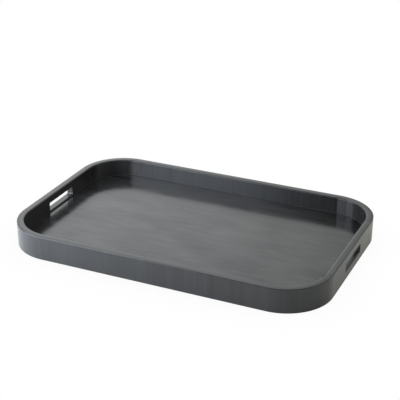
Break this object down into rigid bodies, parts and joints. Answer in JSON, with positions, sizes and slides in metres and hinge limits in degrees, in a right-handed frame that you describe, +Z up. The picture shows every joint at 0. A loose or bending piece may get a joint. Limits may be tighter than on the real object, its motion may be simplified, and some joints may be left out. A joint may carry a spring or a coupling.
{
  "type": "decorative tray",
  "caption": "Low rectangular serving tray with large round corners, upright veneered wooden walls, a flat veneered floor and a finger slot through each end wall.",
  "frame": {"origin": "middle of the footprint, on the surface that the tray stands on", "axes": "+X along the tray towards one handle slot, +Y across it towards the back wall, +Z up out of the tray"},
  "size_m": [0.6, 0.39, 0.045],
  "materials": {
    "face_veneer": "near-black stained veneer under satin-gloss lacquer",
    "stained_core": "near-black stained wood under satin-gloss lacquer",
    "base_plywood": "raw plywood",
    "dowel_beech": "raw fluted beech"
  },
  "bodies": {
    "root": {"front_rail": "stained_core", "back_rail": "stained_core", "left_rail": "stained_core", "right_rail": "stained_core", "front_left_corner_block": "stained_core", "front_right_corner_block": "stained_core", "back_left_corner_block": "stained_core", "back_right_corner_block": "stained_core", "front_outer_veneer": "face_veneer", "back_outer_veneer": "face_veneer", "left_outer_veneer": "face_veneer", "right_outer_veneer": "face_veneer", "front_left_outer_veneer": "face_veneer", "front_right_outer_veneer": "face_veneer", "back_left_outer_veneer": "face_veneer", "back_right_outer_veneer": "face_veneer", "front_inner_veneer": "face_veneer", "back_inner_veneer": "face_veneer", "left_inner_veneer": "face_veneer", "right_inner_veneer": "face_veneer", "front_left_inner_veneer": "face_veneer", "front_right_inner_veneer": "face_veneer", "back_left_inner_veneer": "face_veneer", "back_right_inner_veneer": "face_veneer", "base_floor_veneer": "face_veneer", "base_core": "base_plywood", "base_back_veneer": "stained_core", "dowel_back_right_right_lower": "dowel_beech", "dowel_back_right_right_upper": "dowel_beech", "dowel_back_right_back_lower": "dowel_beech", "dowel_back_right_back_upper": "dowel_beech", "dowel_back_left_back_lower": "dowel_beech", "dowel_back_left_back_upper": "dowel_beech", "dowel_back_left_left_lower": "dowel_beech", "dowel_back_left_left_upper": "dowel_beech", "dowel_front_left_left_lower": "dowel_beech", "dowel_front_left_left_upper": "dowel_beech", "dowel_front_left_front_lower": "dowel_beech", "dowel_front_left_front_upper": "dowel_beech", "dowel_front_right_front_lower": "dowel_beech", "dowel_front_right_front_upper": "dowel_beech", "dowel_front_right_right_lower": "dowel_beech", "dowel_front_right_right_upper": "dowel_beech"}
  },
  "joints": []
}
